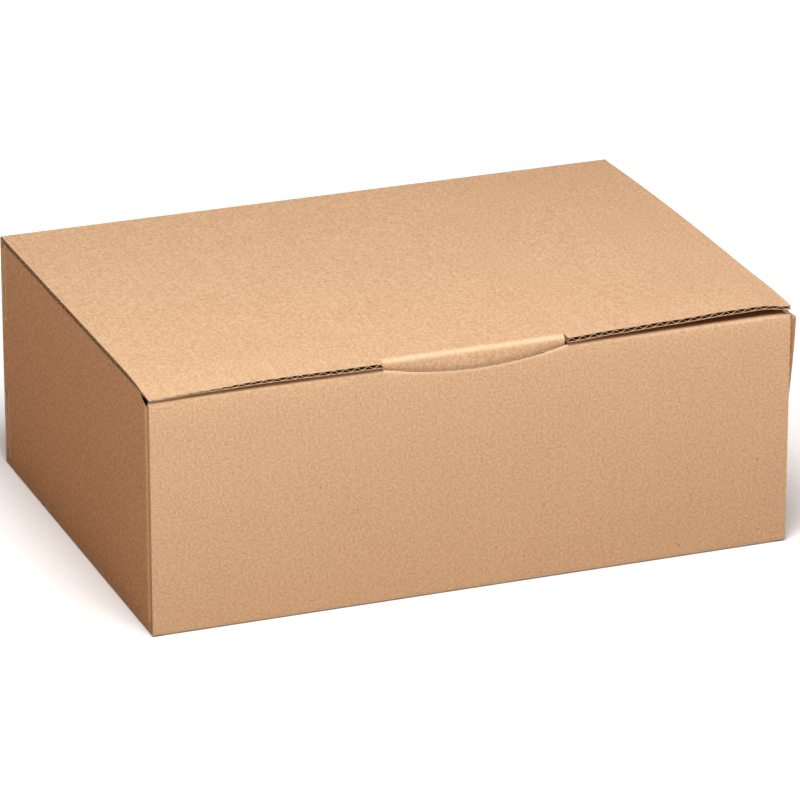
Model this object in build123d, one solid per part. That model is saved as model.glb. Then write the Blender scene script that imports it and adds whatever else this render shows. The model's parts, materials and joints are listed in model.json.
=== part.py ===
from build123d import *
from math import cos, hypot, radians, sin, sqrt, tan
import os

# A die-cut mailing carton of corrugated board, folded shut. Millimetres.
# X runs along the front, Y from the front to the back, Z up from the underside.
# The sheet is one piece. It is split at the rear crease alone, where the lid turns.

# Outside of the closed carton
WIDTH = 356.0
DEPTH = 254.0
HEIGHT = 133.5

# Corrugated board: two liners with a fluted medium between them
BOARD = 2.8
LINER = 0.3
MEDIUM = 0.3
FLUTE_PITCH = 6.25
FLUTE_CREST = 1.1  # width over which the medium lies flat on a liner
INNER_CREASE = 0.5  # length of the flattened inside of each fold

# Clearances
LAYER_GAP = 0.3  # between sheets that lie against each other
LID_GAP = 0.3  # between the lid's underside and the walls' top edges
HINGE_GAP = 0.3  # between the rear crease's axis and the lid's rear edge

# Closure: a tongue folded down from the lid, tucked in behind the front wall
TONGUE_WIDTH = 102.0
TONGUE_LENGTH = 25.0
TONGUE_LEAN = 4.0  # degrees by which it slopes inwards
TONGUE_CORNER = 8.0  # radius of its two free corners
TONGUE_GAP = 0.5  # between the tongue's root and the front wall
SLOT_SIDE_GAP = 1.5  # between each end of the tongue and its slot
NOTCH_DEPTH = 6.0  # depth of the arc in the front wall's top edge

# Front wall: doubled by an inner panel that is locked into the bottom by two tabs
LOCK_SPACING = 200.0
LOCK_WIDTH = 40.0
LOCK_RECESS = 0.4  # how far a tab's tip stays above the underside

# Side walls: each has a flap folded in at both ends
FLAP_TO_SLOT = 7.5  # from a flap's free end to the line of the tongue's slot
RELIEF_HEIGHT = 4.0  # open corner at the top front of each side wall
RELIEF_RADIUS = 3.0
TAB_LOW = 44.5  # a tab on the side wall's rear edge fills a notch in the back wall
TAB_HIGH = 86.0

# Levels and lines that follow from the sizes above
right = WIDTH / 2
front = -DEPTH / 2
rear = DEPTH / 2
lid_underside = HEIGHT - BOARD
wall_top = lid_underside - LID_GAP
wall_back_face = front + BOARD  # the front wall's inward face
flap_front = wall_back_face + LAYER_GAP  # front corner flaps' outer face
flap_back = rear - BOARD - LAYER_GAP  # rear corner flaps' outer face
tongue_root = wall_back_face + TONGUE_GAP
tongue_depth = BOARD / cos(radians(TONGUE_LEAN)) + TONGUE_LENGTH * tan(radians(TONGUE_LEAN))
inner_panel_front = max(tongue_root + tongue_depth, flap_front + BOARD) + LAYER_GAP
inner_panel_back = inner_panel_front + BOARD
side_inner_face = right - BOARD
flap_end = TONGUE_WIDTH / 2 + SLOT_SIDE_GAP + FLAP_TO_SLOT  # free ends of the corner flaps
bottom_edge = BOARD + INNER_CREASE  # reach of the solid fold along each side of the bottom


def folded(corners):
    """Outer line of a folded sheet, with a short flat across each corner."""
    line = [corners[0]]
    for before, corner, after in zip(corners, corners[1:], corners[2:]):
        arriving = (corner - before).normalized()
        leaving = (after - corner).normalized()
        turn = radians(arriving.get_angle(leaving))
        leg = (INNER_CREASE + 2 * BOARD * tan(turn / 4)) / (2 * cos(turn / 2))
        line += [corner - arriving * leg, corner + leaving * leg]
    return line + [corners[-1]]


def flute_section(low, high):
    """Outlines of a cut across the flutes, as (across, depth) points.

    The first is the sheet's own outline, cut through a crest at both sides.
    The others are the tunnels between the medium and the two liners.
    """
    count = round((high - low) / FLUTE_PITCH)
    step = (high - low) / count
    flank = BOARD - 2 * LINER - MEDIUM
    run = step / 2 - FLUTE_CREST
    narrow = FLUTE_CREST / 2
    wide = narrow + (run - MEDIUM * hypot(1, run / flank)) / (1 - MEDIUM / flank)
    outer, inner = LINER, BOARD - LINER
    under_crest, over_trough = outer + MEDIUM, inner - MEDIUM
    left_side = [(low, 0), (low, under_crest), (low + narrow, under_crest)]
    left_side += [(low + wide, inner), (low, inner), (low, BOARD)]
    right_side = [(low + high - across, depth) for across, depth in reversed(left_side)]
    outlines = [left_side + right_side]
    for flute in range(count):
        middle = low + (flute + 0.5) * step
        outlines.append(tunnel(middle, wide, outer, narrow, over_trough))
    for flute in range(1, count):
        middle = low + flute * step
        outlines.append(tunnel(middle, wide, inner, narrow, under_crest))
    return outlines


def tunnel(middle, wide, wide_depth, narrow, narrow_depth):
    """Trapezium between one liner and the medium's flanks."""
    base = [(middle - wide, wide_depth), (middle + wide, wide_depth)]
    return base + [(middle + narrow, narrow_depth), (middle - narrow, narrow_depth)]


def fluted_sheet(corners, plane, low, high):
    """Folded board whose flutes run along a line of corners drawn in plane.

    The line is the outer face and the board lies to its left, from low to high
    along the plane's normal.
    """
    line = folded(corners)
    runs = [(after - before).normalized() for before, after in zip(line, line[1:])]
    normals = [Vector(-run.Y, run.X) for run in runs]
    mitres = [(a + b) / (1 + a.dot(b)) for a, b in zip(normals, normals[1:])]
    mitres = [normals[0]] + mitres + [normals[-1]]

    def ring(station, outline):
        points = []
        for across, depth in outline:
            flat = line[station] + mitres[station] * depth
            points.append(plane.from_local_coords(Vector(flat.X, flat.Y, across)))
        return points

    outlines = flute_section(low, high)
    faces = []
    for outline in outlines:
        rings = [ring(station, outline) for station in range(len(line))]
        for near, far in zip(rings, rings[1:]):
            for here in range(len(outline)):
                there = (here + 1) % len(outline)
                quad = [near[here], near[there], far[there], far[here]]
                faces.append(Face(Wire.make_polygon(quad)))
    for station in (0, len(line) - 1):
        edge, *holes = [Wire.make_polygon(ring(station, outline)) for outline in outlines]
        faces.append(Face(edge, holes))
    return Solid(Shell(faces))


def block(x_range, y_range, z_range):
    """Box between two values on each axis."""
    ranges = (x_range, y_range, z_range)
    centre = [(low + high) / 2 for low, high in ranges]
    size = [high - low for low, high in ranges]
    return Pos(*centre) * Box(*size)


def both_sides(x_near, x_far, y_range, z_range):
    """The same box at both ends of the carton."""
    return [
        block((-x_far, -x_near), y_range, z_range),
        block((x_near, x_far), y_range, z_range),
    ]


def slot_opening():
    """Arc through the front wall, and the slot behind it for the tongue."""
    half = TONGUE_WIDTH / 2 + SLOT_SIDE_GAP
    radius = (half**2 + NOTCH_DEPTH**2) / (2 * NOTCH_DEPTH)
    arc = Pos(0, front, wall_top + radius - NOTCH_DEPTH)
    arc *= Rot(90, 0, 0) * Cylinder(radius, 2 * BOARD + LAYER_GAP)
    above = (wall_top - NOTCH_DEPTH, HEIGHT)
    arc &= block((-half, half), (front - BOARD, wall_back_face), above)
    slot = block((-half, half), (wall_back_face, inner_panel_front), above)
    return [arc, slot]


def lock_tabs(clearance, tip):
    """The inner panel's two tabs, or with a clearance the slots that they lock into."""
    width = LOCK_WIDTH / 2 + clearance
    across = (inner_panel_front - clearance, inner_panel_back + clearance)
    return [
        block((middle - width, middle + width), across, (tip, BOARD + LAYER_GAP))
        for middle in (-LOCK_SPACING / 2, LOCK_SPACING / 2)
    ]


def main_strip():
    """Inner front panel, top roll, front wall, bottom and back wall, in one run of flutes."""
    corners = [
        Vector(inner_panel_back, BOARD + LAYER_GAP),
        Vector(inner_panel_back, wall_top),
        Vector(front, wall_top),
        Vector(front, 0),
        Vector(rear, 0),
        Vector(rear, wall_top),
    ]
    strip = fluted_sheet(corners, Plane.YZ, -right, right)
    past_end = right + BOARD
    roll_end = side_inner_face - LAYER_GAP
    roll_ends = both_sides(roll_end, past_end, (wall_back_face, inner_panel_back + BOARD), (BOARD, HEIGHT))
    bottom_sides = both_sides(right - bottom_edge, past_end, (wall_back_face, rear - BOARD), (-BOARD, BOARD))
    rear_notches = both_sides(
        side_inner_face - LAYER_GAP,
        past_end,
        (rear - 2 * BOARD, rear + BOARD),
        (TAB_LOW - LAYER_GAP, TAB_HIGH + LAYER_GAP),
    )
    lock_slots = lock_tabs(LAYER_GAP, -BOARD)
    lock_slots = [slot & block((-right, right), (front, rear), (-BOARD, BOARD)) for slot in lock_slots]
    strip -= slot_opening() + roll_ends + bottom_sides + rear_notches + lock_slots
    return strip + lock_tabs(0, LOCK_RECESS)


def side_fold():
    """Solid crease between the bottom and the right-hand wall, along the flutes."""
    leg = sqrt(2) / 2 * INNER_CREASE + BOARD * (2 - sqrt(2))
    inner = side_inner_face - INNER_CREASE
    points = [
        (right - bottom_edge, 0),
        (right - leg, 0),
        (right, leg),
        (right, bottom_edge),
        (side_inner_face, bottom_edge),
        (inner, BOARD),
    ]
    profile = Plane.XZ * make_face(Polyline(*points, close=True))
    return Pos(0, flap_back, 0) * extrude(profile, flap_back - flap_front)


def side_wall():
    """Right-hand wall with its front and rear corner flaps and its rear tab."""
    fold_start = flap_back - bottom_edge
    flap_floor = BOARD + LAYER_GAP
    flap_top = wall_top - BOARD - LAYER_GAP
    beyond = right + BOARD
    front_run = [Vector(flap_end, flap_front), Vector(right, flap_front), Vector(right, rear)]
    wall = fluted_sheet(front_run, Plane.XY, bottom_edge, wall_top)
    past_fold = (fold_start, rear + BOARD)
    wall -= [
        block((flap_end, beyond), past_fold, (-BOARD, TAB_LOW)),
        block((flap_end, beyond), past_fold, (TAB_HIGH, HEIGHT)),
        block((flap_end - BOARD, side_inner_face - BOARD), (front, 0), (0, flap_floor)),
        block((flap_end - BOARD, beyond), (front, flap_front + BOARD + LAYER_GAP), (flap_top, HEIGHT)),
    ]
    rear_run = [Vector(right, fold_start), Vector(right, flap_back), Vector(flap_end, flap_back)]
    flap = fluted_sheet(rear_run, Plane.XY, bottom_edge, wall_top)
    tab_root = (side_inner_face - BOARD, beyond)
    tab_gap = (TAB_LOW - LAYER_GAP, TAB_HIGH + LAYER_GAP)
    flap -= block(tab_root, (fold_start - BOARD, rear), tab_gap)
    return (wall + flap) - relief()


def relief():
    """Open corner at the top front of the right-hand wall, beside the end of the top roll."""
    end = inner_panel_back + LAYER_GAP - BOARD / 2
    top_band = (wall_top - RELIEF_HEIGHT, HEIGHT)
    outline = block((side_inner_face - BOARD, right + BOARD), (front, end), top_band)
    lower_edge = outline.edges().filter_by(Axis.X).sort_by(Axis.Z)[:2].sort_by(Axis.Y)[-1]
    return fillet(lower_edge, RELIEF_RADIUS)


def box_body():
    """Everything below the rear crease."""
    wall = side_wall() + side_fold()
    return main_strip() + [wall, mirror(wall, Plane.YZ)]


def lid():
    """Top panel with the tongue folded down from the middle of its front edge."""
    back = rear - HINGE_GAP
    half = TONGUE_WIDTH / 2
    lean = radians(TONGUE_LEAN)
    tip = Vector(tongue_root + TONGUE_LENGTH * sin(lean), HEIGHT - TONGUE_LENGTH * cos(lean))
    fold_room = wall_back_face + 3 * BOARD
    panel = fluted_sheet([Vector(back, HEIGHT), Vector(front, HEIGHT)], Plane.YZ, -right, right)
    panel -= block((-half, half), (front - BOARD, fold_room), (0, 2 * HEIGHT))
    bend = [Vector(fold_room, HEIGHT), Vector(tongue_root, HEIGHT), tip]
    tongue = fluted_sheet(bend, Plane.YZ, -right, right)
    tongue &= tongue_blank(half, fold_room, tip)
    return panel + tongue


def tongue_blank(half, fold_room, tip):
    """Extent of the tongue and its fold, with rounded free corners."""
    blank = block((-half, half), (front, fold_room), (tip.Y - BOARD, HEIGHT))
    free_corners = blank.edges().filter_by(Axis.Y).sort_by(Axis.Z)[:2]
    return fillet(free_corners, TONGUE_CORNER + BOARD)


os.makedirs("parts", exist_ok=True)
for name, shape in {"box_body": box_body(), "lid": lid()}.items():
    export_step(shape, f"parts/{name}.step")
    print(name, type(shape).__name__, len(shape.solids()), round(shape.volume), shape.is_valid)
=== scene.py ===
import bisect
import json
import math

import bmesh
import bpy
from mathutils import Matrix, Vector, noise


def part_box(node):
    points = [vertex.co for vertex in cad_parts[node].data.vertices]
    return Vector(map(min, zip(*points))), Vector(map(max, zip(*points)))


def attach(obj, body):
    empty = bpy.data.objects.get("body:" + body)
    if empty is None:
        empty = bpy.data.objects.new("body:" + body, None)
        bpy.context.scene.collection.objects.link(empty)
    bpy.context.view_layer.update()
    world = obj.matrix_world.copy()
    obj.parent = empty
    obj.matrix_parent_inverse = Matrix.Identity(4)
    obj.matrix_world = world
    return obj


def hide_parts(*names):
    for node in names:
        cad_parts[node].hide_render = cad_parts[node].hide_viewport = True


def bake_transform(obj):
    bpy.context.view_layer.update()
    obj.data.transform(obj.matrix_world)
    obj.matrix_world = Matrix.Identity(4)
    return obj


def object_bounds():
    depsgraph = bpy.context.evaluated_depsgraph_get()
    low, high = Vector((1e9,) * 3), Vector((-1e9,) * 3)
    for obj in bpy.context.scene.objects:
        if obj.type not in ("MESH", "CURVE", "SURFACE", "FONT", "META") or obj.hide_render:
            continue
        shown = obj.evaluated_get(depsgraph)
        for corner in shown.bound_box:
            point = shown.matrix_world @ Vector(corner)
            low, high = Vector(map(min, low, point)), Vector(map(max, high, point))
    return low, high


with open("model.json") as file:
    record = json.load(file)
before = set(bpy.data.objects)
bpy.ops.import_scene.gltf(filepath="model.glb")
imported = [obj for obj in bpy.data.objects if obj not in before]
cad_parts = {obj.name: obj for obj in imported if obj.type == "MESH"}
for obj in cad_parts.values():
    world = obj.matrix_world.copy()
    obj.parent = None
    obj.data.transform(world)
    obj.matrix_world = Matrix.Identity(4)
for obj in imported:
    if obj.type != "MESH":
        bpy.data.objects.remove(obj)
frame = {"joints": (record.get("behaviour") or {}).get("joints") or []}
cad_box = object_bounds()

# Sizes read from the frame, in metres
low, high = Vector(cad_box[0]), Vector(cad_box[1])
hinge = Vector(frame["joints"][0]["pos_m"])
wall_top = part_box("box_body")[1].z
board = high.z - hinge.z
mm = 0.001

# Corrugated board
LINER = 0.28 * mm
MEDIUM = 0.22 * mm
GLUE = 0.02 * mm
FLUTE_PITCH = 6.25 * mm
FLUTE_STEPS = 10
FLUTE_SLIP = 0.22
FLUTE_SLIP_RATE = 0.45
FLUTE_SHRINK = 0.3
FLUTE_SHRINK_RATE = 0.7
FOLD_TURN = math.radians(45)
FOLD_RADIUS = 2.0 * mm
STRIP_RADIUS = 2.6 * mm
SIDE_RADIUS = 3.4 * mm
FOLD_STEPS = 6
CRUSH = 0.42
CRUSH_REACH = 5.0 * mm
CRUSH_ROWS = (-1, -0.75, -0.5, 0.5, 0.75, 1)
# Width of the paler band along fold crests: partly real rubbing, partly a painted highlight
RUB_AND_HIGHLIGHT_REACH = 2.4 * mm
EDGE_CRUSH = 1.0 * mm
EDGE_CRUSH_DEPTH = 0.55
EDGE_CRUSH_COLUMNS = (0.33, 0.67, 1)
SHARP_ANGLE = math.radians(40)
NEAREST = 0.04 * mm
LAYER_GAP = 0.3 * mm

# Closure
TONGUE_WIDTH = 102.0 * mm
TONGUE_LENGTH = 25.0 * mm
TONGUE_LEAN = 4.0
TONGUE_CORNER = 8.0 * mm
TONGUE_GAP = 0.1 * mm
TONGUE_BEND = 3.5 * mm
TONGUE_TIP_BACK = 1.5 * mm
TONGUE_SHOULDER = 10.0 * mm
TONGUE_STRAIGHT = 4.0 * mm
TONGUE_CURL = 1 / (330 * mm)
TONGUE_FOLD_ROOM = 14.0 * mm
SLOT_SIDE_GAP = 0.6 * mm
NOTCH_DEPTH = 6.0 * mm
NOTCH_FADE = 30.0 * mm
LOCK_SPACING = 200.0 * mm
LOCK_WIDTH = 40.0 * mm
LOCK_RECESS = 0.4 * mm

# Rear crease, and the bow of the front wall under its top roll
CREASE_BELOW = 4.0 * mm
CREASE_BEHIND = 5.0 * mm
BOW_HEIGHT = 11.0 * mm
BOW_DEPTH = 0.9 * mm
BOW_SLACK = 0.5 * mm

# Lid: how far back its sprung and its pressed front edge reach, and the arch of its right side
RISE_REACH = 70.0 * mm
PRESS_REACH = 32.0 * mm
LID_ARCH = 2.3 * mm

# Rise of the lid's front edge in millimetres, and the share of the board's thickness left
# there, at places along the front from the left corner (0) to the right corner (1)
EDGE_RISE = (
    (0.0, -0.2),
    (0.09, 0.6),
    (0.18, 1.0),
    (0.34, 0.35),
    (0.6, 0.2),
    (0.645, 0.35),
    (0.72, 1.4),
    (0.81, 2.2),
    (0.9, 3.2),
    (0.955, 3.5),
    (1.0, 1.7),
)
EDGE_LEFT = (
    (0.0, 0.24),
    (0.07, 0.4),
    (0.16, 0.72),
    (0.34, 0.93),
    (0.6, 0.97),
    (0.9, 0.93),
    (1.0, 0.72),
)

# Side walls
CORNER_FLAP = 118.0 * mm
RELIEF_HEIGHT = 4.4 * mm
RELIEF_LENGTH = 10.5 * mm
RELIEF_FADE = 14.0 * mm
RELIEF_ROUNDING = 2.5
TAB_LOW = 44.5 * mm
TAB_HIGH = 86.0 * mm
EDGE_ZONE = 6.0 * mm
FLARE = 6.5 * mm
FLARE_FROM = 34.0 * mm
FLARE_BEHIND = 16.0 * mm
FLARE_INWARD = 25.0 * mm
# Extra paleness along the side walls' front and rear fold crests: a painted highlight, partly real
# rubbing
FRONT_RUB_AND_HIGHLIGHT = 1.2
REAR_RUB_AND_HIGHLIGHT = 2.0

# Distances between the columns and rows of the meshes
STRIP_COLUMN, STRIP_ROW = 12.0 * mm, 30.0 * mm
LID_COLUMN, LID_ROW, TONGUE_ROW = 3.0 * mm, 12.0 * mm, 6.0 * mm
WALL_COLUMN, WALL_ROW, RELIEF_ROW, TAB_ROW = 7.0 * mm, 25.0 * mm, 0.7 * mm, 4.0 * mm
SIDE_FOLD_COLUMN, SIDE_FOLD_ROW = 20.0 * mm, 6.0 * mm
CREASE_COLUMN, CREASE_ROW = 12.0 * mm, 1.0 * mm

# Kraft paper: its colours, the scales of its noises per metre (across and along the fibres)
# and its specks
KRAFT = (0.565, 0.38, 0.238)
KRAFT_PALE = (0.72, 0.515, 0.35)
KRAFT_DARK = (0.41, 0.248, 0.138)
# Paler colour along fold crests: partly real rubbing, partly a painted highlight
KRAFT_RUB_AND_HIGHLIGHT = (0.78, 0.60, 0.43)
KRAFT_SPECK = (0.2, 0.105, 0.05)
CLOUDS = 30.0
STREAKS = (380.0, 16.0)
MOTTLE = (820.0, 520.0)
FIBRES = (2200.0, 1300.0)
CUT_GRAIN = 1800.0
SPECK_SPACING = 6.5 * mm
SPECK_SIZE = 0.085
SPECK_CORE = 0.45
SPECK_RARITY = 0.72
PAPER_BUMP = 0.12 * mm
FLUTE_BUMP = 0.03 * mm
# Darker, warmer colour of the side walls: painted shade, as their board is the same as the front's
SIDE_WALL_PAINTED_SHADE = (0.86, 0.70, 0.575)
FLUTING_TINT = (0.85, 0.85, 0.85)
CUT_LINER = (0.60, 0.44, 0.29)
CUT_FLUTING = (0.80, 0.67, 0.50)

# Studio
FLOOR_HALF = 15.0
FLOOR_COLOUR = (0.76, 0.72, 0.68, 1.0)
GLOW_COLOUR = (0.85, 0.93, 1.0, 1.0)
GLOW_DISTANCES = (0.2, 1.5)
GLOW_STRENGTHS = (0.08, 1.3)
ROOM_COLOUR = (1.0, 0.6, 0.4, 1.0)
ROOM_STRENGTH = 0.07
LAMP_PLACE = (-0.19, -0.605, 1.5)
LAMP_TARGET = (0.0, 0.0, 0.06)
LAMP_SIZE = 0.85
LAMP_POWER = 26.2
LAMP_COLOUR = (0.97, 1.0, 1.04)
CAMERA_AZIMUTH = math.radians(-20.89)
CAMERA_ELEVATION = math.radians(21.70)
CAMERA_DISTANCE = 3.0677
CAMERA_TARGET = (0.0046, -0.0045, 0.0601)
CAMERA_LENS = 256.0
CAMERA_SENSOR = 36.0

# Lines that follow from the sizes above
front, rear = low.y, high.y
wall_back_face = front + board
flap_front = wall_back_face + LAYER_GAP
flap_back = rear - board - LAYER_GAP
tongue_root = wall_back_face + TONGUE_GAP
lean = math.radians(TONGUE_LEAN)
tongue_depth = board / math.cos(lean) + TONGUE_LENGTH * math.tan(lean)
inner_panel_front = tongue_root + tongue_depth + LAYER_GAP
inner_panel_back = inner_panel_front + board
roll_end = high.x - board - LAYER_GAP
slot_half = TONGUE_WIDTH / 2 + SLOT_SIDE_GAP
lock_middles = (-LOCK_SPACING / 2, LOCK_SPACING / 2)
slot_width = LOCK_WIDTH + 2 * LAYER_GAP
crush_columns = [
    side * (high.x - share * EDGE_CRUSH) for side in (-1, 1) for share in EDGE_CRUSH_COLUMNS
]


def smooth(value):
    """Eases a value from 0 to 1."""
    value = min(1.0, max(0.0, value))
    return value * value * (3 - 2 * value)


def bump_at(value, middle, reach):
    """Rounded bump of height 1 that fades out at a distance from its middle."""
    return smooth(1 - abs(value - middle) / reach)


class Track:
    """Outer face of a folded sheet in side view: straight runs with rounded folds."""

    def __init__(self, corners, radius=FOLD_RADIUS):
        self.stops = []
        self.folds = []
        corners = [Vector(corner) for corner in corners]
        self.add(corners[0], self.inward(corners[1] - corners[0]))
        for before, corner, after in zip(corners, corners[1:], corners[2:]):
            arriving = (corner - before).normalized()
            leaving = (after - corner).normalized()
            turn = arriving.angle(leaving)
            start = corner - arriving * radius * math.tan(turn / 2)
            centre = start + self.inward(arriving) * radius
            for step in range(FOLD_STEPS + 1):
                angle = turn * step / FOLD_STEPS
                normal = self.inward(arriving) * math.cos(angle) - arriving * math.sin(angle)
                self.add(centre - normal * radius, normal)
            if turn > FOLD_TURN:
                self.folds.append(self.stops[-1 - FOLD_STEPS // 2][0])
        self.add(corners[-1], self.inward(corners[-1] - corners[-2]))
        self.length = self.stops[-1][0]

    @staticmethod
    def inward(run):
        """Direction into the board from its outer face."""
        return Vector((-run.y, run.x)).normalized()

    def add(self, point, normal):
        """Adds a stop: its distance along the track, its place and its inward direction."""
        distance = 0.0
        if self.stops:
            distance = self.stops[-1][0] + (point - self.stops[-1][1]).length
        self.stops.append((distance, point, normal))

    def thickness(self, distance):
        """Share of the board's thickness that the folding has left here."""
        crush = 0.0
        for fold in self.folds:
            crush = max(crush, smooth(1 - abs(distance - fold) / CRUSH_REACH))
        return 1 - CRUSH * crush

    def at(self, distance, depth):
        """Point at a depth below the outer face."""
        index = bisect.bisect_right([stop[0] for stop in self.stops], distance)
        index = min(max(index, 1), len(self.stops) - 1)
        (s0, p0, n0), (s1, p1, n1) = self.stops[index - 1 : index + 1]
        share = (distance - s0) / (s1 - s0)
        point = p0.lerp(p1, share)
        normal = n0.lerp(n1, min(1.0, max(0.0, share))).normalized()
        return point + normal * depth * self.thickness(distance)

    def pressed(self, distance):
        """How pale the fold's crest is here, from 0 to 1: partly real rubbing of the crease, partly a
        painted highlight.
        """
        return max((bump_at(distance, fold, RUB_AND_HIGHLIGHT_REACH) for fold in self.folds), default=0.0)

    def rows(self, spacing):
        """Distances along the track that its folds need, and evenly spaced ones between them."""
        rows = [stop[0] for stop in self.stops]
        for fold in self.folds:
            rows += [fold + share * CRUSH_REACH for share in CRUSH_ROWS]
        return rows + spread(0.0, self.length, spacing)


def spread(start, end, spacing):
    """Evenly spaced values from start to end."""
    count = max(1, round((end - start) / spacing))
    return [start + (end - start) * step / count for step in range(count + 1)]


def between(breaks, values):
    """Merges values into the breaks in order, leaving out those too near to another."""
    kept = sorted(breaks)
    for value in sorted(values):
        place = bisect.bisect(kept, value)
        beside = kept[max(0, place - 1) : place + 1]
        inside = kept[0] < value < kept[-1]
        if inside and min(abs(value - other) for other in beside) > NEAREST:
            kept.insert(place, value)
    return kept


class Grid:
    """Columns and rows that all the patches of one sheet share, so that their edges weld."""

    def __init__(self, columns, rows, rub_and_highlight_at=None):
        self.mesh = bmesh.new()
        # Share of the paler fold-crest colour at each vertex: partly rubbing, partly a painted highlight
        self.rub_and_highlight = self.mesh.verts.layers.float.new("rub_and_highlight")
        self.columns = columns
        self.rows = rows
        self.rub_and_highlight_at = rub_and_highlight_at

    def lay(self, across, along, place):
        """One patch between two columns and two rows."""
        slack = NEAREST / 2
        columns = [value for value in self.columns if across[0] - slack < value < across[1] + slack]
        rows = [value for value in self.rows if along[0] - slack < value < along[1] + slack]
        wide, long = len(columns) - 1, len(rows) - 1
        grid = bmesh.ops.create_grid(self.mesh, x_segments=wide, y_segments=long, size=1)
        for vert in grid["verts"]:
            column = round((vert.co.x + 1) / 2 * wide)
            row = round((vert.co.y + 1) / 2 * long)
            vert.co = place(columns[column], rows[row])
            vert[self.rub_and_highlight] = self.rub_and_highlight_at(rows[row]) if self.rub_and_highlight_at else 0.0


# --- papers of the board --------------------------------------------------------


class Layer:
    """One of the three papers in the board, as depth below the outer face."""

    def __init__(self, name, paper, inward):
        self.name = name
        self.paper = paper
        self.inward = inward

    def depth(self, across, origin, pitch):
        """Depth of the paper at a place across the flutes; the medium's flutes are uneven."""
        if self.name == "outer":
            return 0.0
        if self.name == "inner":
            return board
        swing = (board - 2 * LINER - MEDIUM) / 2 - GLUE
        phase = (across - origin) / pitch
        slip = noise.noise(Vector((phase * FLUTE_SLIP_RATE, 3.0, 0.0)))
        shrink = abs(noise.noise(Vector((phase * FLUTE_SHRINK_RATE, 0.0, 5.0))))
        wave = math.cos(2 * math.pi * (phase + FLUTE_SLIP * slip)) * (1 - FLUTE_SHRINK * shrink)
        return board / 2 - MEDIUM / 2 - swing * wave


LAYERS = [Layer("outer", LINER, 1), Layer("medium", MEDIUM, 1), Layer("inner", LINER, -1)]


def flute_pitch(start, end):
    """Pitch that divides the distance into whole flutes."""
    return (end - start) / round((end - start) / FLUTE_PITCH)


def columns_for(layer, breaks, pitch, spacing):
    """Columns of a sheet: fine enough for the wave on the medium."""
    if layer.name == "medium":
        spacing = pitch / FLUTE_STEPS
    return between(breaks, spread(min(breaks), max(breaks), spacing))


def finish_sheet(name, grid, layer, body, materials, mirrored=False):
    """Welds a sheet's patches, gives it its paper's thickness and makes the piece.

    The faces that the thickness adds between the paper's two sides are its cut edges. A sheet
    with no body is left unattached.
    """
    bm = grid.mesh
    bmesh.ops.remove_doubles(bm, verts=bm.verts, dist=NEAREST / 2)
    bm.normal_update()
    face_side = set(bm.verts)
    bmesh.ops.solidify(bm, geom=bm.faces[:], thickness=-layer.paper * layer.inward)
    if mirrored:
        bmesh.ops.scale(bm, vec=(-1, 1, 1), verts=bm.verts)
    bmesh.ops.recalc_face_normals(bm, faces=bm.faces)
    for face in bm.faces:
        on_face_side = sum(vert in face_side for vert in face.verts)
        face.smooth = True
        face.material_index = 1 if 0 < on_face_side < len(face.verts) else 0
    mesh = bpy.data.meshes.new(name)
    bm.to_mesh(mesh)
    bm.free()
    for material in materials:
        mesh.materials.append(material)
    mesh.set_sharp_from_angle(angle=SHARP_ANGLE)
    piece = bpy.data.objects.new(name, mesh)
    bpy.context.scene.collection.objects.link(piece)
    if body:
        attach(piece, body)
    return piece


# --- materials ------------------------------------------------------------------


class Nodes:
    """Short names for the nodes that the papers use."""

    def __init__(self, name):
        self.material = bpy.data.materials.new(name)
        self.material.use_nodes = True
        self.tree = self.material.node_tree
        self.tree.nodes.clear()
        self.output = self.add("ShaderNodeOutputMaterial")
        self.shader = self.add("ShaderNodeBsdfPrincipled")
        self.link(self.shader.outputs[0], self.output.inputs[0])
        self.place = self.add("ShaderNodeTexCoord").outputs["Object"]

    def add(self, kind, **settings):
        node = self.tree.nodes.new(kind)
        for name, value in settings.items():
            setattr(node, name, value)
        return node

    def link(self, start, end):
        self.tree.links.new(start, end)

    def stretched(self, scale):
        """Object coordinates scaled by a different amount on each axis."""
        node = self.add("ShaderNodeMapping")
        node.inputs["Scale"].default_value = scale
        self.link(self.place, node.inputs["Vector"])
        return node.outputs[0]

    def noise(self, scale, detail=3.0, rough=0.6):
        node = self.add("ShaderNodeTexNoise")
        node.inputs["Scale"].default_value = 1.0
        node.inputs["Detail"].default_value = detail
        node.inputs["Roughness"].default_value = rough
        self.link(self.stretched(scale), node.inputs["Vector"])
        return node.outputs["Fac"]

    def remap(self, value, from_low, from_high, to_low=0.0, to_high=1.0):
        node = self.add("ShaderNodeMapRange")
        self.link(value, node.inputs["Value"])
        node.inputs["From Min"].default_value = from_low
        node.inputs["From Max"].default_value = from_high
        node.inputs["To Min"].default_value = to_low
        node.inputs["To Max"].default_value = to_high
        return node.outputs[0]

    def maths(self, operation, first, second):
        node = self.add("ShaderNodeMath", operation=operation)
        for socket, value in zip(node.inputs, (first, second)):
            if isinstance(value, (int, float)):
                socket.default_value = value
            else:
                self.link(value, socket)
        return node.outputs[0]

    def mix(self, factor, first, second):
        node = self.add("ShaderNodeMix", data_type="RGBA")
        sockets = (node.inputs[0], node.inputs[6], node.inputs[7])
        for socket, value in zip(sockets, (factor, first, second)):
            if isinstance(value, (int, float, tuple)):
                socket.default_value = value
            else:
                self.link(value, socket)
        return node.outputs[2]


def specks_of(nodes):
    """Scattered dark specks: the middles of some random cells."""
    voronoi = nodes.add("ShaderNodeTexVoronoi", feature="F1")
    voronoi.inputs["Scale"].default_value = 1.0
    nodes.link(nodes.stretched([1 / SPECK_SPACING] * 3), voronoi.inputs["Vector"])
    middle = nodes.remap(voronoi.outputs["Distance"], SPECK_SIZE, SPECK_SIZE * SPECK_CORE)
    cell = nodes.add("ShaderNodeSeparateColor")
    nodes.link(voronoi.outputs["Color"], cell.inputs[0])
    chosen = nodes.maths("GREATER_THAN", cell.outputs[0], SPECK_RARITY)
    return nodes.maths("MULTIPLY", middle, chosen)


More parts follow.
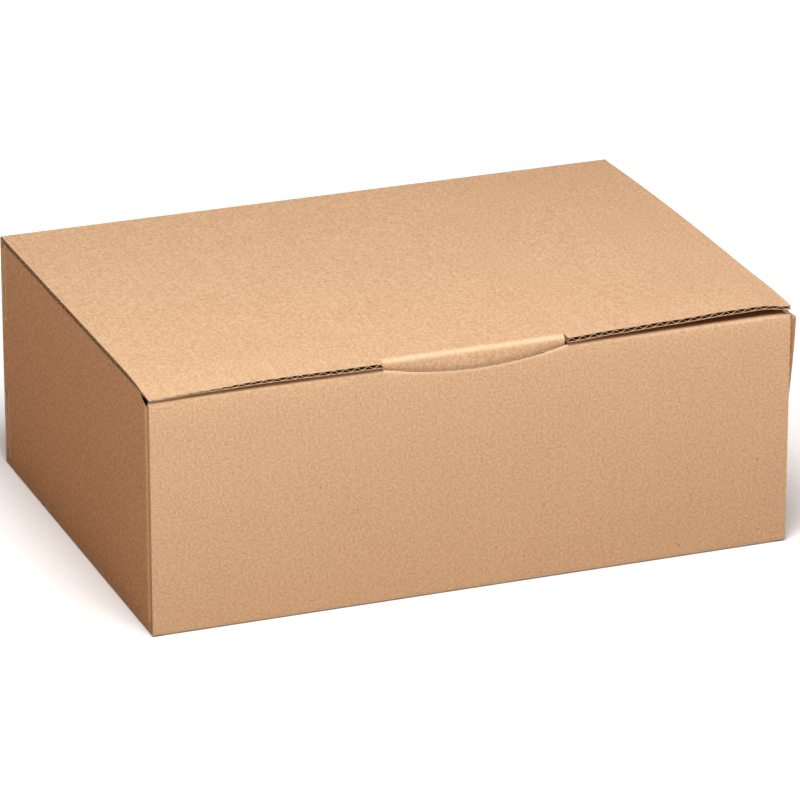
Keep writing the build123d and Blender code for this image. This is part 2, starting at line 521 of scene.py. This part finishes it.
def kraft(name, fibre, tint=(1.0, 1.0, 1.0), flute_axis=None, grain=1.0, coarse=1.0):
    """Brown kraft liner whose fibres run along one axis and whose flutes show faintly."""
    nodes = Nodes(name)

    def along_fibres(scales):
        across, along = scales
        scale = [across / coarse] * 3
        scale["XYZ".index(fibre)] = along / coarse
        return scale

    def tinted(colour):
        return tuple(part * share for part, share in zip(colour, tint)) + (1.0,)

    pale, dark = tinted(KRAFT_PALE), tinted(KRAFT_DARK)
    cloudy = nodes.noise([CLOUDS] * 3, 2.0)
    streaky = nodes.noise(along_fibres(STREAKS), 3.0)
    mottled = nodes.noise(along_fibres(MOTTLE), 3.0, 0.7)
    fibrous = nodes.noise(along_fibres(FIBRES), 2.0, 0.7)
    colour = nodes.mix(nodes.remap(cloudy, 0.35, 0.65, 0.06, 0.0), tinted(KRAFT), dark)
    colour = nodes.mix(nodes.remap(streaky, 0.45, 0.75, 0.0, 0.16), colour, pale)
    colour = nodes.mix(nodes.remap(mottled, 0.5, 0.72, 0.0, 0.5 * grain), colour, pale)
    colour = nodes.mix(nodes.remap(mottled, 0.5, 0.28, 0.0, 0.5 * grain), colour, dark)
    colour = nodes.mix(nodes.remap(fibrous, 0.52, 0.76, 0.0, 0.45 * grain), colour, dark)
    colour = nodes.mix(nodes.remap(fibrous, 0.48, 0.25, 0.0, 0.4 * grain), colour, pale)
    # Fold crests made paler: partly real rubbing, partly a painted highlight
    rub_and_highlight = nodes.add("ShaderNodeAttribute", attribute_name="rub_and_highlight").outputs["Fac"]
    colour = nodes.mix(nodes.maths("MULTIPLY", rub_and_highlight, 0.4), colour, tinted(KRAFT_RUB_AND_HIGHLIGHT))
    specks = nodes.maths("MULTIPLY", specks_of(nodes), 0.7)
    colour = nodes.mix(specks, colour, tinted(KRAFT_SPECK))
    nodes.link(colour, nodes.shader.inputs["Base Color"])
    nodes.shader.inputs["Roughness"].default_value = 0.86
    nodes.shader.inputs["Specular IOR Level"].default_value = 0.28
    bump = nodes.add("ShaderNodeBump")
    bump.inputs["Strength"].default_value = 0.4
    bump.inputs["Distance"].default_value = PAPER_BUMP
    height = nodes.maths("ADD", fibrous, nodes.maths("MULTIPLY", mottled, 1.2))
    nodes.link(height, bump.inputs["Height"])
    if flute_axis:
        separate = nodes.add("ShaderNodeSeparateXYZ")
        nodes.link(nodes.place, separate.inputs[0])
        across = separate.outputs["XYZ".index(flute_axis)]
        phase = nodes.maths("MULTIPLY", across, 2 * math.pi / FLUTE_PITCH)
        ripple = nodes.add("ShaderNodeBump")
        ripple.inputs["Strength"].default_value = 0.6
        ripple.inputs["Distance"].default_value = FLUTE_BUMP
        nodes.link(nodes.maths("SINE", phase, 0.0), ripple.inputs["Height"])
        nodes.link(ripple.outputs[0], bump.inputs["Normal"])
    nodes.link(bump.outputs[0], nodes.shader.inputs["Normal"])
    return nodes.material


def cut_paper(name, colour):
    """Sheared edge of a paper: paler and rougher than its face."""
    nodes = Nodes(name)
    grain = nodes.noise([CUT_GRAIN] * 3, 3.0)
    pale = colour + (1.0,)
    dark = tuple(0.6 * part for part in colour) + (1.0,)
    nodes.link(nodes.mix(nodes.remap(grain, 0.3, 0.7), dark, pale), nodes.shader.inputs["Base Color"])
    nodes.shader.inputs["Roughness"].default_value = 0.95
    nodes.shader.inputs["Specular IOR Level"].default_value = 0.15
    return nodes.material


kraft_x = kraft("kraft_front_and_lid", "Y", flute_axis="X", grain=1.3, coarse=1.1)
# The side walls' kraft carries painted shade in its tint
kraft_z_painted_shade = kraft("kraft_side_walls_painted_shade", "Y", SIDE_WALL_PAINTED_SHADE, flute_axis="Z", grain=1.6, coarse=1.35)
fluting = kraft("recycled_fluting", "X", FLUTING_TINT)
liner_edge = cut_paper("cut_liner", CUT_LINER)
fluting_edge = cut_paper("cut_fluting", CUT_FLUTING)


def papers(layer, liner):
    """Materials of a paper's face and of its cut edge."""
    if layer.name == "medium":
        return [fluting, fluting_edge]
    return [liner, liner_edge]


# --- box body: front, bottom and back in one run of flutes -----------------------

main_track = Track(
    [
        (inner_panel_back, board + LAYER_GAP),
        (inner_panel_back, wall_top),
        (front, wall_top),
        (front, 0.0),
        (rear, 0.0),
        (rear, wall_top),
    ],
    radius=STRIP_RADIUS,
)
roll_back, roll_front, bottom_front, bottom_rear = main_track.folds
wall_start = roll_front
crease_low = wall_top - CREASE_BELOW
tab_length = board + LAYER_GAP - LOCK_RECESS
main_pitch = flute_pitch(low.x, high.x)

# From a fold's crest to a place past it is shorter by this than from the fold's sharp corner
fold_trim = STRIP_RADIUS * (1 - math.pi / 4)


def notch_depth(x):
    """Depth of the arc in the front wall's top edge."""
    radius = (slot_half**2 + NOTCH_DEPTH**2) / (2 * NOTCH_DEPTH)
    return max(0.0, math.sqrt(radius**2 - min(abs(x), slot_half) ** 2) - (radius - NOTCH_DEPTH))


def bow_front(point):
    """Rounds the front wall gently inwards below the top roll."""
    if point.y < wall_back_face + BOW_SLACK:
        share = (point.z - wall_top + BOW_HEIGHT) / BOW_HEIGHT
        point.y += BOW_DEPTH * max(0.0, share) ** 2
    return point


def crushed_depth(layer, x):
    """Depth of a paper across the box; the die bends the last flute shut at both sides."""
    depth = layer.depth(x, low.x, main_pitch)
    if layer.name != "medium":
        return depth
    return depth + (EDGE_CRUSH_DEPTH * board - depth) * smooth(1 - (high.x - abs(x)) / EDGE_CRUSH)


def main_point(layer):
    """Places a point of the strip, given across the box and along the strip."""

    def place(x, s):
        flat = main_track.at(s, crushed_depth(layer, x))
        return bow_front(Vector((x, flat.x, flat.y)))

    return place


def tab_point(layer):
    """Places a point of a lock tab, which goes on straight below the inner panel."""
    low_end = main_track.stops[0][1]

    def place(x, s):
        depth = layer.depth(x, low.x, main_pitch)
        return Vector((x, low_end.x - depth, low_end.y + s))

    return place


def both_sides(middles, width):
    """Left and right sides of equal openings or tabs."""
    return [middle + half for middle in middles for half in (-width / 2, width / 2)]


def main_strip(layer):
    """Inner front panel, top roll, front wall, bottom and back wall."""
    place = main_point(layer)
    side = high.x - EDGE_ZONE
    tab_side = high.x - board - LAYER_GAP
    slot_sides = both_sides(lock_middles, slot_width)
    tab_sides = both_sides(lock_middles, LOCK_WIDTH)
    breaks = [low.x, -side, -roll_end, -slot_half, slot_half, roll_end, side, high.x]
    breaks += crush_columns
    columns = columns_for(layer, breaks + slot_sides + tab_sides, main_pitch, STRIP_COLUMN)
    notch_end = wall_start + NOTCH_FADE
    slot_start = bottom_front + inner_panel_front - front - fold_trim
    slot_end = slot_start + board + LAYER_GAP
    heights = (TAB_LOW, TAB_HIGH, crease_low)
    tab_low, tab_high, top = [main_track.length - (wall_top - height) for height in heights]
    panel_top = roll_back - STRIP_RADIUS
    row_breaks = [-tab_length, 0.0, panel_top, wall_start, notch_end, bottom_front, slot_start, slot_end]
    row_breaks += [bottom_rear, tab_low, tab_high, top]
    rows = between(row_breaks, main_track.rows(STRIP_ROW))
    # The strip's fold crests get the paler colour: partly rubbing, partly a painted highlight
    grid = Grid(columns, rows, main_track.pressed)

    def notched(x, s):
        """Lowers the front wall's top to the arc, less and less further down."""
        share = 1 - min(1.0, (s - wall_start) / NOTCH_FADE)
        return place(x, s + notch_depth(x) * share)

    grid.lay((-roll_end, -slot_half), (0.0, notch_end), place)
    grid.lay((slot_half, roll_end), (0.0, notch_end), place)
    grid.lay((-slot_half, slot_half), (0.0, panel_top), place)
    grid.lay((-slot_half, slot_half), (wall_start, notch_end), notched)
    grid.lay((low.x, -roll_end), (wall_start, notch_end), place)
    grid.lay((roll_end, high.x), (wall_start, notch_end), place)
    grid.lay((low.x, high.x), (notch_end, bottom_front), place)
    grid.lay((-side, side), (bottom_front, slot_start), place)
    for left, right in zip([-side] + slot_sides[1::2], slot_sides[::2] + [side]):
        grid.lay((left, right), (slot_start, slot_end), place)
    for left, right in zip(tab_sides[::2], tab_sides[1::2]):
        grid.lay((left, right), (-tab_length, 0.0), tab_point(layer))
    grid.lay((-side, side), (slot_end, bottom_rear), place)
    grid.lay((low.x, high.x), (bottom_rear, tab_low), place)
    grid.lay((-tab_side, tab_side), (tab_low, tab_high), place)
    grid.lay((low.x, high.x), (tab_high, top), place)
    return finish_sheet(f"body_{layer.name}", grid, layer, "box", papers(layer, kraft_x))


for layer in LAYERS:
    main_strip(layer)

# --- lid -----------------------------------------------------------------------

lid_track = Track(
    [
        (rear - CREASE_BEHIND, high.z),
        (tongue_root + TONGUE_TIP_BACK, high.z),
        (tongue_root, high.z - TONGUE_SHOULDER),
        (tongue_root, high.z - TONGUE_LENGTH),
    ],
    radius=TONGUE_BEND,
)
raw_track = Track([(rear - CREASE_BEHIND, high.z), (front, high.z)])
tongue_fold = lid_track.folds[0]


def along_curve(points, value):
    """Value of a curve that runs smoothly through given points."""
    for (start, first), (end, last) in zip(points, points[1:]):
        if value <= end:
            return first + (last - first) * smooth((value - start) / (end - start))
    return points[-1][1]


def lid_shape(point):
    """Bends a point of the flat lid to its sprung, pressed and slightly arched shape."""
    x, y, z = point
    along = (x - low.x) / (high.x - low.x)
    underside = high.z - board
    at_front = smooth(1 - (y - front) / RISE_REACH)
    near_edge = smooth(1 - (y - front) / PRESS_REACH)
    thickness_left = 1 - (1 - along_curve(EDGE_LEFT, along)) * near_edge
    below = max(0.0, underside - z)
    if z > underside:
        z = underside + (z - underside) * thickness_left
    z += along_curve(EDGE_RISE, along) * at_front * mm
    from_crease = (rear - CREASE_BEHIND - y) / (rear - CREASE_BEHIND - front)
    z += LID_ARCH * 4 * from_crease * (1 - from_crease) * smooth(x / high.x)
    return Vector((x, y + below**2 * TONGUE_CURL, z))


def lid_strip(layer):
    """Top panel with its raw front edge, and the tongue folded down from its middle."""
    half = TONGUE_WIDTH / 2
    fold_start = raw_track.length - TONGUE_FOLD_ROOM
    breaks = [low.x, -half, half, high.x] + crush_columns
    columns = columns_for(layer, breaks, main_pitch, LID_COLUMN)

    def place_on(track):
        def place(x, s):
            flat = track.at(s, crushed_depth(layer, x))
            return lid_shape((x, flat.x, flat.y))

        return place

    def rounded(x, s):
        """Draws the tongue's tip in at its two rounded corners."""
        inset = max(0.0, abs(x) - (half - TONGUE_CORNER))
        lift = TONGUE_CORNER - math.sqrt(max(0.0, TONGUE_CORNER**2 - inset**2))
        straight = tongue_fold + TONGUE_STRAIGHT
        share = max(0.0, (s - straight) / (lid_track.length - straight))
        return place_on(lid_track)(x, s - lift * share)

    raw_rows = between([0.0, fold_start, raw_track.length], raw_track.rows(LID_ROW))
    grid = Grid(columns, raw_rows)
    grid.lay((low.x, -half), (0.0, raw_track.length), place_on(raw_track))
    grid.lay((half, high.x), (0.0, raw_track.length), place_on(raw_track))
    grid.lay((-half, half), (0.0, fold_start), place_on(raw_track))
    grid.rows = between([fold_start, lid_track.length], lid_track.rows(TONGUE_ROW))
    # The tongue's fold crest gets the paler colour: partly rubbing, partly a painted highlight
    grid.rub_and_highlight_at = lid_track.pressed
    grid.lay((-half, half), (fold_start, lid_track.length), rounded)
    return finish_sheet(f"lid_{layer.name}", grid, layer, "lid", papers(layer, kraft_x))


for layer in LAYERS:
    lid_strip(layer)

# --- side walls -------------------------------------------------------------------

flap_end = high.x - CORNER_FLAP
side_track = Track(
    [(flap_end, flap_front), (high.x, flap_front), (high.x, flap_back), (flap_end, flap_back)],
    radius=SIDE_RADIUS,
)
fold_front, fold_rear = side_track.folds
wall_end = fold_rear - EDGE_ZONE
tab_track = Track([side_track.at(wall_end, 0.0), (high.x, rear)])
side_pitch = flute_pitch(board, wall_top)


def side_top(s):
    """Height of the side wall's top edge at a distance along it."""
    past_fold = s - fold_front
    if past_fold <= 0:
        return wall_top - max(RELIEF_HEIGHT, board + LAYER_GAP)
    share = min(1.0, past_fold / RELIEF_LENGTH)
    return wall_top - RELIEF_HEIGHT * math.sqrt(1 - share**RELIEF_ROUNDING)


def flare(point):
    """Spreads the top of the right wall's front fold outwards."""
    upper = smooth((point.z - FLARE_FROM) / (wall_top - FLARE_FROM))
    behind = math.exp(-max(0.0, point.y - flap_front) / FLARE_BEHIND)
    inward = math.exp(-max(0.0, high.x - point.x) / FLARE_INWARD)
    return point + Vector((FLARE * upper * behind * inward, 0, 0))


def side_wall(layer, mirrored):
    """One side wall with its two corner flaps and its rear tab."""
    reference = wall_top - RELIEF_FADE

    def place_on(track, shift=0.0):
        def place(z, s):
            flat = track.at(s, layer.depth(z, board, side_pitch))
            if z > reference:
                top = side_top(s + shift)
                z = reference + (z - reference) * (top - reference) / (wall_top - reference)
            point = Vector((flat.x, flat.y, z))
            return point if mirrored else flare(point)

        return place

    floor = board + LAYER_GAP
    heights = [floor, EDGE_ZONE, TAB_LOW, TAB_HIGH, wall_top]
    columns = columns_for(layer, heights, side_pitch, WALL_COLUMN)
    relief_rows = spread(fold_front + EDGE_ZONE / 2, fold_front + 2 * EDGE_ZONE, RELIEF_ROW)
    flap_start = fold_rear + CRUSH_REACH
    breaks = [0.0, fold_front, wall_end, flap_start, side_track.length]
    rows = between(breaks, relief_rows + side_track.rows(WALL_ROW))

    # Paler fold crests, strongest beside the front and rear folds: a painted highlight, partly real
    # rubbing
    def rub_and_highlight(s):
        front_rub_and_highlight = bump_at(s, fold_front + RUB_AND_HIGHLIGHT_REACH, RUB_AND_HIGHLIGHT_REACH)
        rear_rub_and_highlight = bump_at(s, fold_rear - RUB_AND_HIGHLIGHT_REACH, RUB_AND_HIGHLIGHT_REACH)
        return side_track.pressed(s) + FRONT_RUB_AND_HIGHLIGHT * front_rub_and_highlight + REAR_RUB_AND_HIGHLIGHT * rear_rub_and_highlight

    grid = Grid(columns, rows, rub_and_highlight)
    on_wall = place_on(side_track)
    grid.lay((floor, EDGE_ZONE), (0.0, fold_front), on_wall)
    grid.lay((EDGE_ZONE, wall_top), (0.0, wall_end), on_wall)
    grid.lay((EDGE_ZONE, TAB_LOW), (wall_end, side_track.length), on_wall)
    grid.lay((TAB_HIGH, wall_top), (wall_end, side_track.length), on_wall)
    grid.lay((TAB_LOW, TAB_HIGH), (flap_start, side_track.length), on_wall)
    grid.rows = spread(0.0, tab_track.length, TAB_ROW)
    grid.rub_and_highlight_at = None
    grid.lay((TAB_LOW, TAB_HIGH), (0.0, tab_track.length), place_on(tab_track, wall_end))
    name = f"{'left' if mirrored else 'right'}_wall_{layer.name}"
    return finish_sheet(name, grid, layer, "box", papers(layer, kraft_z_painted_shade), mirrored)


side_fold_track = Track([(high.x - EDGE_ZONE, 0.0), (high.x, 0.0), (high.x, EDGE_ZONE)])


def side_fold(layer, mirrored):
    """Creased edge between the bottom and one side wall."""
    depth = {"outer": 0.0, "inner": board, "medium": board / 2}[layer.name]

    def place(y, s):
        point = side_fold_track.at(s, depth)
        return Vector((point.x, -y, point.y))

    columns = spread(-flap_back, -flap_front, SIDE_FOLD_COLUMN)
    rows = between([0.0, side_fold_track.length], side_fold_track.rows(SIDE_FOLD_ROW))
    # The fold crest gets the paler colour: partly rubbing, partly a painted highlight
    grid = Grid(columns, rows, side_fold_track.pressed)
    grid.lay((-flap_back, -flap_front), (0.0, side_fold_track.length), place)
    name = f"{'left' if mirrored else 'right'}_fold_{layer.name}"
    return finish_sheet(name, grid, layer, "box", papers(layer, kraft_z_painted_shade), mirrored)


for mirrored in (False, True):
    for layer in LAYERS:
        side_wall(layer, mirrored)
        side_fold(layer, mirrored)

# --- rear crease --------------------------------------------------------------------


def rear_crease(layer):
    """Band of liner bent round the rear crease, attached to neither body."""
    corners = [(rear, crease_low), (rear, high.z), (rear - CREASE_BEHIND, high.z)]
    corner_track = Track(corners)
    depth = 0.0 if layer.name == "outer" else board

    def place(x, s):
        point = corner_track.at(s, depth)
        return Vector((x, point.x, point.y))

    rows = between([0.0, corner_track.length], corner_track.rows(CREASE_ROW))
    # The crease's crest gets the paler colour: partly rubbing, partly a painted highlight
    grid = Grid(spread(low.x, high.x, CREASE_COLUMN), rows, corner_track.pressed)
    grid.lay((low.x, high.x), (0.0, corner_track.length), place)
    piece = finish_sheet(f"rear_crease_{layer.name}", grid, layer, None, papers(layer, kraft_x))
    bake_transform(piece)


for layer in LAYERS:
    if layer.name != "medium":
        rear_crease(layer)

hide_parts("box_body")
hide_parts("lid")

# --- stage, lights and camera ----------------------------------------------------------


def floor_material():
    """White sweep: paper near the box, lit from within further off."""
    nodes = Nodes("pale_floor")
    nodes.shader.inputs["Base Color"].default_value = FLOOR_COLOUR
    nodes.shader.inputs["Roughness"].default_value = 0.9
    nodes.shader.inputs["Emission Color"].default_value = GLOW_COLOUR
    distance = nodes.add("ShaderNodeVectorMath", operation="LENGTH")
    nodes.link(nodes.place, distance.inputs[0])
    glow = nodes.remap(distance.outputs["Value"], *GLOW_DISTANCES, *GLOW_STRENGTHS)
    nodes.link(glow, nodes.shader.inputs["Emission Strength"])
    return nodes.material


def make_floor():
    bm = bmesh.new()
    bmesh.ops.create_grid(bm, x_segments=1, y_segments=1, size=FLOOR_HALF)
    mesh = bpy.data.meshes.new("floor")
    bm.to_mesh(mesh)
    bm.free()
    mesh.materials.append(floor_material())
    floor = bpy.data.objects.new("floor", mesh)
    bpy.context.scene.collection.objects.link(floor)


def make_room_light():
    """Faint warm light from all round."""
    world = bpy.data.worlds.new("studio")
    bpy.context.scene.world = world
    world.use_nodes = True
    background = world.node_tree.nodes["Background"]
    background.inputs["Color"].default_value = ROOM_COLOUR
    background.inputs["Strength"].default_value = ROOM_STRENGTH


def aim(thing, target):
    direction = Vector(target) - thing.location
    thing.rotation_euler = direction.to_track_quat("-Z", "Y").to_euler()


def make_lamp():
    """Large soft lamp above the box and in front of it."""
    light = bpy.data.lights.new("overhead", "AREA")
    light.shape = "SQUARE"
    light.size = LAMP_SIZE
    light.energy = LAMP_POWER
    light.color = LAMP_COLOUR
    lamp = bpy.data.objects.new("overhead", light)
    lamp.location = LAMP_PLACE
    bpy.context.scene.collection.objects.link(lamp)
    aim(lamp, LAMP_TARGET)


def make_camera():
    data = bpy.data.cameras.new("camera")
    data.lens = CAMERA_LENS
    data.sensor_width = CAMERA_SENSOR
    camera = bpy.data.objects.new("camera", data)
    level = math.cos(CAMERA_ELEVATION)
    back = Vector(
        (
            math.sin(CAMERA_AZIMUTH) * level,
            -math.cos(CAMERA_AZIMUTH) * level,
            math.sin(CAMERA_ELEVATION),
        )
    )
    camera.location = Vector(CAMERA_TARGET) + back * CAMERA_DISTANCE
    bpy.context.scene.collection.objects.link(camera)
    aim(camera, CAMERA_TARGET)
    bpy.context.scene.camera = camera


make_floor()
make_room_light()
make_lamp()
make_camera()
bpy.context.scene.view_settings.view_transform = "Standard"
bpy.context.scene.view_settings.look = "High Contrast"
